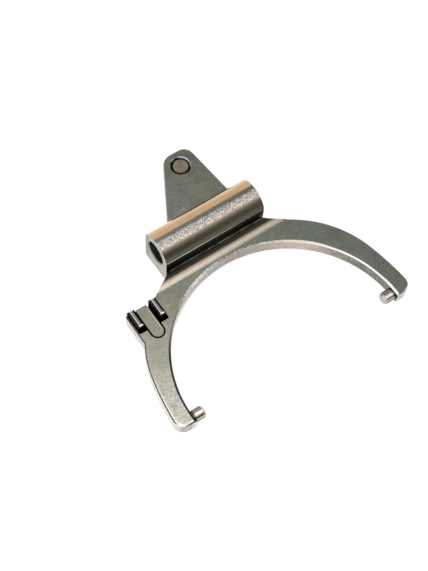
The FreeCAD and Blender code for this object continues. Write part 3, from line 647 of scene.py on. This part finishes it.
# %% Painted light round the mouth
mouth_wall_painted_light = steel.ramp(
    round_mouth, (0.0, (0.158, 0.147, 0.12)), (0.12, (0.166, 0.162, 0.153)),
    (0.195, (0.31, 0.27, 0.213)), (0.28, (0.59, 0.495, 0.40)), (0.36, (0.45, 0.37, 0.30)),
    (0.445, (0.325, 0.28, 0.26)), (0.53, (0.335, 0.31, 0.288)), (0.61, (0.385, 0.345, 0.30)),
    (0.70, (0.30, 0.29, 0.265)), (0.78, (1.0, 1.0, 0.96)), (0.86, (1.0, 1.0, 1.0)),
    (0.95, (0.16, 0.20, 0.27)), (0.99, (0.06, 0.072, 0.095)))
# painted highlights and painted shade along the bevel
bevel_painted_light = steel.ramp(
    round_mouth, (0.0, (0.71, 0.71, 0.68)), (0.11, (0.83, 0.84, 0.83)), (0.20, (0.80, 0.77, 0.74)),
    (0.28, (0.61, 0.58, 0.54)), (0.36, (0.59, 0.55, 0.50)), (0.445, (0.36, 0.33, 0.30)),
    (0.53, (0.52, 0.50, 0.47)), (0.61, (0.66, 0.67, 0.63)), (0.70, (0.50, 0.52, 0.50)),
    (0.76, (1.0, 1.0, 0.96)), (0.86, (1.0, 1.0, 1.0)), (0.94, (0.27, 0.35, 0.43)),
    (0.99, (0.035, 0.05, 0.065)))
tally("ramps round the mouth")

# %% Marks, nicks and painted shade
on_crown = steel.every(steel.rise(round_mouth, 0.28, 0.40), steel.rise(round_mouth, 0.76, 0.70))
# painted shade on the bevel's outer part along the right arm
right_bevel_outer_shade = steel.every(above(from_mouth, MOUTH_RADIUS + 0.62, 0.08),
                            steel.rise(round_mouth, 0.26, 0.19),
                            steel.rise(round_mouth, 0.01, 0.06))
wall_colour = steel.coat(
    mouth_wall_painted_light,
    (steel.every(steel.rise(patchy, 0.42, 0.60), 0.5), (0.70, 0.72, 0.68), "MULTIPLY"),
    (steel.every(steel.rise(grainy, 0.48, 0.62), 0.25), (0.70, 0.66, 0.63)))
bevel_colour = steel.coat(
    bevel_painted_light,
    (steel.every(steel.rise(grainy, 0.54, 0.42), on_crown, 0.7), (0.48, 0.47, 0.47), "MULTIPLY"),
    (steel.every(steel.rise(fine, 0.56, 0.64), on_crown, 0.85), (0.08, 0.07, 0.06)),
    (right_bevel_outer_shade, (0.125, 0.13, 0.115)))
tally("wall and bevel")

# %% [markdown]
# ## Outer walls and stubs
#
# The outer walls were sheared and a little patchy; they are painted paler where they face left,
# towards the bright floor that they mirror, with painted shade at their foot where they meet the
# floor. The stubs were turned, and the bands of reflection round them are painted into their
# colour, painted highlights among them. One direction tells the bands apart, and the two stubs
# face the room from opposite sides, so each has a ramp of its own.

# %% Outer walls, with painted light and painted shade at the foot
lug_wall = steel.every(between(x, LUG_LEFT - 1.52, -44.0, 0.5), below(y, LUG_BACK))
# painted light: paler where the wall faces left; painted shade along its foot
outer_wall_tone_and_shade = steel.coat(
    (0.40, 0.365, 0.33), (steel.rise(nx, -0.6, -0.9), (0.68, 0.655, 0.615)),
    (lug_wall, (0.54, 0.52, 0.48)),
    (steel.every(steel.rise(patchy, 0.44, 0.60), 0.4), (0.80, 0.72, 0.68)),
    (steel.every(below(z, UNDERSIDE + 0.45, 0.12), 0.7), (0.22, 0.21, 0.20)))
tally("outer walls")

# %% Stubs' painted reflection bands, from the front round to the back
stub_turn = steel.unit(ny)
left_stub_painted_light = steel.ramp(
    stub_turn, (0.0, (0.27, 0.235, 0.20)), (0.065, (0.68, 0.61, 0.55)), (0.25, (0.56, 0.49, 0.44)),
    (0.42, (0.95, 0.88, 0.82)), (0.56, (1.0, 0.97, 0.92)), (0.62, (0.34, 0.40, 0.48)),
    (0.75, (0.20, 0.275, 0.38)), (0.86, (0.20, 0.25, 0.31)), (0.91, (0.24, 0.225, 0.205)))
right_stub_painted_light = steel.ramp(
    stub_turn, (0.0, (0.16, 0.14, 0.125)), (0.065, (0.56, 0.50, 0.45)), (0.25, (1.0, 0.97, 0.95)),
    (0.42, (0.82, 0.73, 0.66)), (0.56, (0.96, 0.86, 0.78)), (0.63, (0.22, 0.27, 0.35)),
    (0.75, (0.135, 0.195, 0.27)), (0.86, (0.18, 0.25, 0.34)), (0.91, (0.46, 0.46, 0.44)))
# a cool painted reflection on the top chamfer of the stubs' ends
chamfer_top = steel.every(steel.rise(ny, 0.05, 0.25), steel.rise(nz, 0.15, 0.35))
stub_end = steel.mix(chamfer_top, (0.50, 0.46, 0.42), (0.38, 0.40, 0.42))
# the last coat paints shade round each stub's root, where it meets the arm
stub_colour = steel.coat(
    left_stub_painted_light, (above(x, 0.0), right_stub_painted_light),
    (steel.every(steel.rise(streaks, 0.44, 0.60), 0.5), (0.72, 0.70, 0.68), "MULTIPLY"),
    (steel.rise(sideways, 0.40, 0.65), stub_end), (step(side, 46.6, 47.7), (0.05, 0.042, 0.04)))
tally("stubs")

# %% [markdown]
# ## Broken edges
#
# The plate's top edge was broken with a file. The small flat that it left is painted dark as
# shade, which makes the dark line round the fork. At the arms' ends and round the pin it has
# painted highlights instead, and a painted blue reflection on the tab's left side.

# %% Edges: painted shade and highlights
end_corner = steel.either(steel.every(below(y, -62.6, 1.0), below(x, -50.5, 1.0)),
                          steel.every(below(y, -64.4, 0.5), above(x, 44.0)))
pin_hole_highlight = steel.every(step(far_from(PIN), PIN_HOLE_RADIUS + 1.6, PIN_HOLE_RADIUS + 1.4),
                       above(y, PIN[1] + 0.6, 1.2), above(z, PLATE_TOP - 0.24, 0.05))
tab_left = steel.every(above(y, 8.0), steel.rise(nx, -0.3, -0.6), 0.55)
# painted shade on the broken edge, painted highlights at the arms' ends and the pin hole, and a
# painted blue reflection on the tab's left
edge_painted_light = steel.coat(
    (0.06, 0.056, 0.047), (end_corner, (0.85, 0.80, 0.75)), (pin_hole_highlight, (0.52, 0.57, 0.64)),
    (tab_left, (0.34, 0.45, 0.64)))
tally("edges")

# %% [markdown]
# ## Ridges and painted shade in the lug
#
# The ridges' rounded tops carry two painted highlight lines, with painted dark flanks. The slots
# are painted black as shade. A dark base colour alone would still glint at a grazing angle, as all
# metal does, so the same mask later dims that edge tint too.

# %% Ridges and painted shade
rib_painted_lines = steel.ramp(
    steel.unit(nx), (0.30, (0.02, 0.019, 0.016)), (0.36, (0.10, 0.10, 0.09)),
    (0.40, (0.72, 0.72, 0.70)), (0.455, (0.70, 0.70, 0.68)), (0.48, (0.40, 0.40, 0.38)),
    (0.54, (0.40, 0.40, 0.38)), (0.60, (0.28, 0.28, 0.26)), (0.68, (0.03, 0.03, 0.025)))
# painted light: a bright front end, a dark band below it and a painted blue reflection on the back
rib_painted_light = steel.coat(
    rib_painted_lines, (steel.rise(ny, -0.15, -0.35), (0.95, 0.95, 0.92)),
    (steel.rise(ny, -0.52, -0.68), (0.03, 0.03, 0.025)),
    (steel.rise(ny, 0.15, 0.40), (0.52, 0.66, 0.88)))
# painted shade: the slots and the ridges' flanks are painted near black
painted_slot_shade = steel.every(steel.either(sunk, rib_side), steel.rise(ny, 0.9, 0.5))
dark_round = steel.either(steel.rise(nx, -0.30, -0.42), steel.rise(nx, 0.30, 0.42),
                          steel.rise(ny, -0.55, -0.68))
shade_without_glint = steel.either(painted_slot_shade, steel.every(rib_top, dark_round), steel.every(crown, behind_tab_shade))
tally("ridges and soot")

# %% [markdown]
# ## All finishes on one steel
#
# The finishes are laid over the plate in the order in which they hide each other. The bump under
# them is far finer than a pixel: it only breaks the mirror, so that the boss glitters and the tip
# of the left arm looks rough. A metal with a little roughness does the rest.

# %% Colour of the whole fork
# painted shade: the boss's end face darkens towards the back, and the front wall and the bore's
# lip are painted dark
end_face_painted_shade = steel.mix(step(y, 3.0, 6.5), (0.37, 0.355, 0.31), (0.195, 0.195, 0.178))
colour = steel.coat(
    plate_colour, (outer_wall, outer_wall_tone_and_shade), (edge, edge_painted_light), (mouth_wall, wall_colour),
    (mouth_bevel, bevel_colour), (stub, stub_colour), (web, web_colour),
    (front_wall, (0.18, 0.173, 0.14)), (crown, crown_tone_and_painted_light), (boss_end, end_face_painted_shade),
    (bore, (0.62, 0.63, 0.62)), (bore_lip, (0.10, 0.105, 0.11)), (rib_top, rib_painted_light),
    (painted_slot_shade, (0.014, 0.013, 0.010)))
rim_tint = steel.mix(shade_without_glint, (1, 1, 1), (0.12, 0.12, 0.12))
tally("colour of the fork")

# %% Gloss and grain
BUMP_STRENGTH, BUMP_HEIGHT = 0.6, 0.06 * MM
PLATE_ROUGHNESS = 0.20

worn = steel.fold("ADD", steel.every(fine, 0.25), steel.every(patchy, 0.35))
blasted = steel.every(crown, steel.rise(ny, 0.06, -0.10), steel.rise(ny, -0.56, -0.36))
rough_places = steel.fold("ADD", steel.every(to_tip, 0.9), steel.every(mouth_bevel, 0.8))
rough = steel.fold("ADD", steel.every(grainy, rough_places),
                   steel.every(sparks, steel.blend(blasted, 0.0, 1.6)))
bumpy = steel.node("ShaderNodeBump", Strength=BUMP_STRENGTH, Distance=BUMP_HEIGHT,
                   Height=steel.fold("ADD", worn, rough))
roughness = steel.blend(crown, steel.remap(cloudy, 0.3, 0.7, 0.15, 0.20), PLATE_ROUGHNESS)
body = steel.node("ShaderNodeBsdfPrincipled", Base_Color=colour, Metallic=1.0, Roughness=roughness,
                  Specular_Tint=rim_tint, Normal=bumpy)
steel.node("ShaderNodeOutputMaterial", Surface=body)
fork.data.materials.clear()
fork.data.materials.append(fork_paint)
print("fork_steel has", len(steel.tree.nodes), "nodes")

# %% [markdown]
# ## Pin steel
#
# The pin is a plain ground rod, pressed in and a little recessed. Its end is flat and warm with
# oil, and the chamfer round it is painted dark as the shade in the ring round the pin. The
# direction's z part tells the end from the chamfer.

# %% Pin steel
pin_paint, ground = material("pin_steel")
pin_coordinates = ground.node("ShaderNodeTexCoord", output="Object").node.outputs
pin_up = ground.split(pin_coordinates["Normal"])[2]
pin_wear = ground.noise(pin_coordinates["Object"], 420.0, 3.0, 0.6)
# the last coat is painted shade on the pin's chamfer
pin_colour = ground.coat((0.44, 0.39, 0.29), (pin_wear, (0.58, 0.52, 0.40)),
                         (ground.rise(pin_up, 0.95, 0.85), (0.04, 0.035, 0.03)))
pin_bump = ground.node("ShaderNodeBump", Strength=0.3, Distance=0.02 * MM, Height=pin_wear)
pin_body = ground.node("ShaderNodeBsdfPrincipled", Base_Color=pin_colour, Metallic=1.0,
                       Roughness=ground.remap(pin_wear, 0.3, 0.7, 0.22, 0.32), Normal=pin_bump)
ground.node("ShaderNodeOutputMaterial", Surface=pin_body)
pin.data.materials.clear()
pin.data.materials.append(pin_paint)
print("pin_steel has", len(ground.tree.nodes), "nodes")
